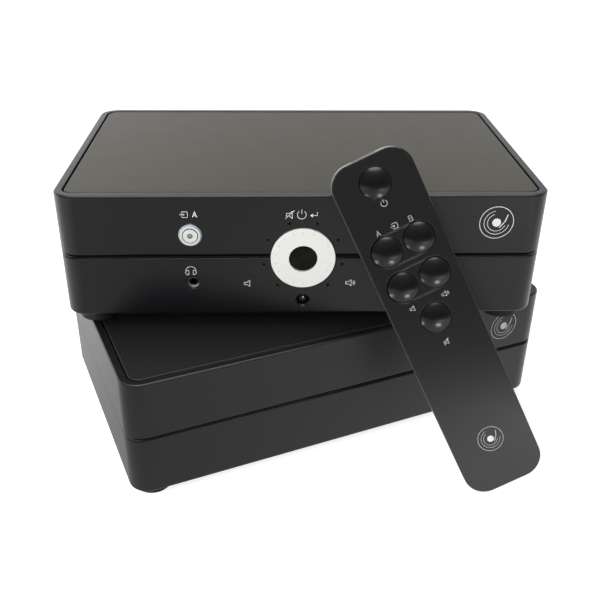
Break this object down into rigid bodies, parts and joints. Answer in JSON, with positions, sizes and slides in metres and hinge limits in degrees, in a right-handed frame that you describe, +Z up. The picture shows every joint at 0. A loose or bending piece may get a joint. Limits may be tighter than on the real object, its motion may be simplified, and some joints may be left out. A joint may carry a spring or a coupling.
{
  "type": "phono preamp",
  "caption": "Two-case phono preamp: control unit with volume dial, input buttons and headphone jacks, stacked on its power supply, with a slim remote leaning on it.",
  "frame": {"origin": "on the table under the middle of the power supply's footprint", "axes": "+Z up, -Y out of the control unit's front, +X to the right seen from the front; the power supply is turned 22 degrees about Z"},
  "size_m": [0.265, 0.2136, 0.165],
  "materials": {
    "control_case": "fine blasted black anodised",
    "supply_case": "fine blasted black anodised",
    "control_plate": "satin black anodised",
    "supply_plate": "satin black anodised",
    "rear_panel": "black anodised sheet",
    "foot_rubber": "matt",
    "pad_rubber": "matt",
    "black_steel": "black oxide",
    "plain_steel": "zinc plated",
    "dial_aluminium": "fine blasted silver anodised",
    "dark_lens": "polished",
    "eye_lens": "polished",
    "button_cap": "turned",
    "button_bezel": "turned",
    "component_black": "moulded",
    "lamp": "polished",
    "ferrule": "nickel plated",
    "socket_black": "moulded",
    "board_green": "solder mask",
    "can_sleeve": "printed sleeve",
    "film_red": "dipped",
    "socket_shell": "moulded",
    "gold": "gold plated",
    "gold_nut": "gold plated",
    "winding": "varnished winding under tape",
    "bare_aluminium": "extruded",
    "mains_plastic": "moulded",
    "rocker_plastic": "moulded",
    "remote_body": "fine blasted grey anodised",
    "remote_plate": "fine blasted black anodised",
    "remote_key": "polished",
    "cell_steel": "plain"
  },
  "bodies": {
    "supply": {"supply_lower_shell": "supply_case", "supply_upper_shell": "supply_case", "supply_top_plate": "supply_plate", "supply_rear_panel": "rear_panel", "supply_feet": "foot_rubber", "supply_screws": "black_steel", "toroidal_transformer": "winding", "transformer_pads": "pad_rubber", "transformer_clamp": "plain_steel", "transformer_bolt": "plain_steel", "rectifier_board": "board_green", "reservoir_capacitors": "can_sleeve", "heat_sink": "bare_aluminium", "regulators": "component_black", "mains_inlet": "mains_plastic", "supply_link_outlet": "socket_shell"},
    "control_unit": {"control_lower_shell": "control_case", "control_upper_shell": "control_case", "control_top_plate": "control_plate", "control_rear_panel": "rear_panel", "control_feet": "foot_rubber", "control_screws": "black_steel", "volume_encoder": "component_black", "volume_leds": "lamp", "input_button_bezels": "button_bezel", "front_switches": "component_black", "headphone_jacks": "socket_black", "jack_ferrules": "ferrule", "infrared_eye": "eye_lens", "front_board": "board_green", "audio_board": "board_green", "electrolytic_capacitors": "can_sleeve", "film_capacitors": "film_red", "amplifier_chips": "component_black", "input_relays": "component_black", "balanced_inputs": "socket_shell", "balanced_outputs": "socket_shell", "rca_sockets": "gold", "control_link_inlet": "socket_shell", "ground_post": "gold"},
    "volume_ring": {"volume_ring": "dial_aluminium"},
    "select_button": {"select_button": "dark_lens"},
    "input_a_button": {"input_a_button": "button_cap"},
    "input_b_button": {"input_b_button": "button_cap"},
    "ground_nut": {"ground_nut": "gold_nut"},
    "power_rocker": {"power_rocker": "rocker_plastic"},
    "fuse_drawer": {"fuse_drawer": "mains_plastic"},
    "remote": {"remote_body": "remote_body", "remote_front_plate": "remote_plate", "remote_board": "board_green", "remote_switches": "component_black", "remote_cell": "cell_steel", "remote_infrared_window": "eye_lens"},
    "remote_power_button": {"remote_power_button": "remote_key"},
    "remote_input_a_button": {"remote_input_a_button": "remote_key"},
    "remote_input_b_button": {"remote_input_b_button": "remote_key"},
    "remote_quieter_button": {"remote_quieter_button": "remote_key"},
    "remote_louder_button": {"remote_louder_button": "remote_key"},
    "remote_mute_button": {"remote_mute_button": "remote_key"},
    "remote_cell_cover": {"remote_cell_cover": "remote_body"}
  },
  "joints": [
    {"name": "control_unit_lift", "type": "slide", "parent": "supply", "child": "control_unit", "axis": [0, 0.5, 0.866], "range_m": [0, 0.06]},
    {"name": "remote_lift", "type": "slide", "parent": "supply", "child": "remote", "axis": [0, -0.5, 0.866], "range_m": [0, 0.06]},
    {"name": "volume_turn", "type": "hinge", "parent": "control_unit", "child": "volume_ring", "pos_m": [0, -0.0557, 0.1087], "axis": [0, -1, 0], "continuous": true},
    {"name": "select_press", "type": "slide", "parent": "control_unit", "child": "select_button", "axis": [0, 1, 0], "range_m": [0, 0.0006], "stiffness_N_per_m": 150, "springref_m": -0.002},
    {"name": "input_a_press", "type": "slide", "parent": "control_unit", "child": "input_a_button", "axis": [0, 1, 0], "range_m": [0, 0.0006], "stiffness_N_per_m": 150, "springref_m": -0.002},
    {"name": "input_b_press", "type": "slide", "parent": "control_unit", "child": "input_b_button", "axis": [0, 1, 0], "range_m": [0, 0.0006], "stiffness_N_per_m": 150, "springref_m": -0.002},
    {"name": "ground_nut_turn", "type": "hinge", "parent": "control_unit", "child": "ground_nut", "pos_m": [0, 0.0888, 0.1015], "axis": [0, 1, 0], "continuous": true},
    {"name": "power_rocker_tilt", "type": "hinge", "parent": "supply", "child": "power_rocker", "pos_m": [0.04993, 0.09664, 0.037], "axis": [0.9272, 0.3746, 0], "range_deg": [0, 20]},
    {"name": "fuse_drawer_slide", "type": "slide", "parent": "supply", "child": "fuse_drawer", "axis": [-0.3746, 0.9272, 0], "range_m": [0, 0.016]},
    {"name": "remote_power_press", "type": "slide", "parent": "remote", "child": "remote_power_button", "axis": [0, 0.9583, -0.2857], "range_m": [0, 0.0006], "stiffness_N_per_m": 150, "springref_m": -0.002},
    {"name": "remote_input_a_press", "type": "slide", "parent": "remote", "child": "remote_input_a_button", "axis": [0, 0.9583, -0.2857], "range_m": [0, 0.0006], "stiffness_N_per_m": 150, "springref_m": -0.002},
    {"name": "remote_input_b_press", "type": "slide", "parent": "remote", "child": "remote_input_b_button", "axis": [0, 0.9583, -0.2857], "range_m": [0, 0.0006], "stiffness_N_per_m": 150, "springref_m": -0.002},
    {"name": "remote_quieter_press", "type": "slide", "parent": "remote", "child": "remote_quieter_button", "axis": [0, 0.9583, -0.2857], "range_m": [0, 0.0006], "stiffness_N_per_m": 150, "springref_m": -0.002},
    {"name": "remote_louder_press", "type": "slide", "parent": "remote", "child": "remote_louder_button", "axis": [0, 0.9583, -0.2857], "range_m": [0, 0.0006], "stiffness_N_per_m": 150, "springref_m": -0.002},
    {"name": "remote_mute_press", "type": "slide", "parent": "remote", "child": "remote_mute_button", "axis": [0, 0.9583, -0.2857], "range_m": [0, 0.0006], "stiffness_N_per_m": 150, "springref_m": -0.002},
    {"name": "cell_cover_turn", "type": "hinge", "parent": "remote", "child": "remote_cell_cover", "pos_m": [0.08633, -0.08647, 0.03823], "axis": [0, 0.9583, -0.2857], "range_deg": [0, 60]}
  ]
}
